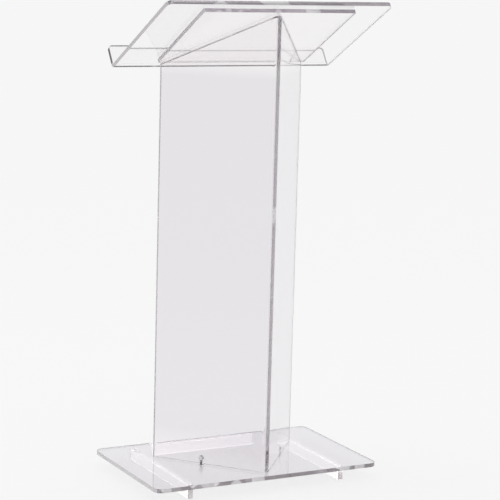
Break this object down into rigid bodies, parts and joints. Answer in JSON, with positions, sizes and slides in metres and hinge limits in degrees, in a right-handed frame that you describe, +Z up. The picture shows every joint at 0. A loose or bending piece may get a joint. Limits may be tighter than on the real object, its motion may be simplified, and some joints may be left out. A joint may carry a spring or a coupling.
{
  "type": "presentation lectern",
  "caption": "Floor-standing clear acrylic lectern: V-shaped column on a flat base with foot rails, and a sloping desk with a paper lip.",
  "frame": {"origin": "on the floor under the middle of the base plate", "axes": "+Z up, +Y towards the speaker, -Y towards the audience, +X to the right seen from the audience"},
  "size_m": [0.61, 0.381, 1.1878],
  "materials": {
    "base_acrylic": "polished",
    "column_acrylic": "polished",
    "mounting_plate_acrylic": "polished",
    "desk_acrylic": "polished",
    "rail_acrylic": "polished",
    "pad_rubber": "satin",
    "bolt_steel": "polished",
    "nut_steel": "polished"
  },
  "bodies": {
    "root": {"base_plate": "base_acrylic", "column": "column_acrylic", "desk_mounting_plate": "mounting_plate_acrylic", "desk_panel": "desk_acrylic", "left_foot_rail": "rail_acrylic", "right_foot_rail": "rail_acrylic", "rear_foot_rail": "rail_acrylic", "front_left_foot_pad": "pad_rubber", "front_right_foot_pad": "pad_rubber", "rear_left_foot_pad": "pad_rubber", "rear_right_foot_pad": "pad_rubber", "left_column_bolt": "bolt_steel", "right_column_bolt": "bolt_steel", "left_barrel_nut": "nut_steel", "right_barrel_nut": "nut_steel"}
  },
  "joints": []
}
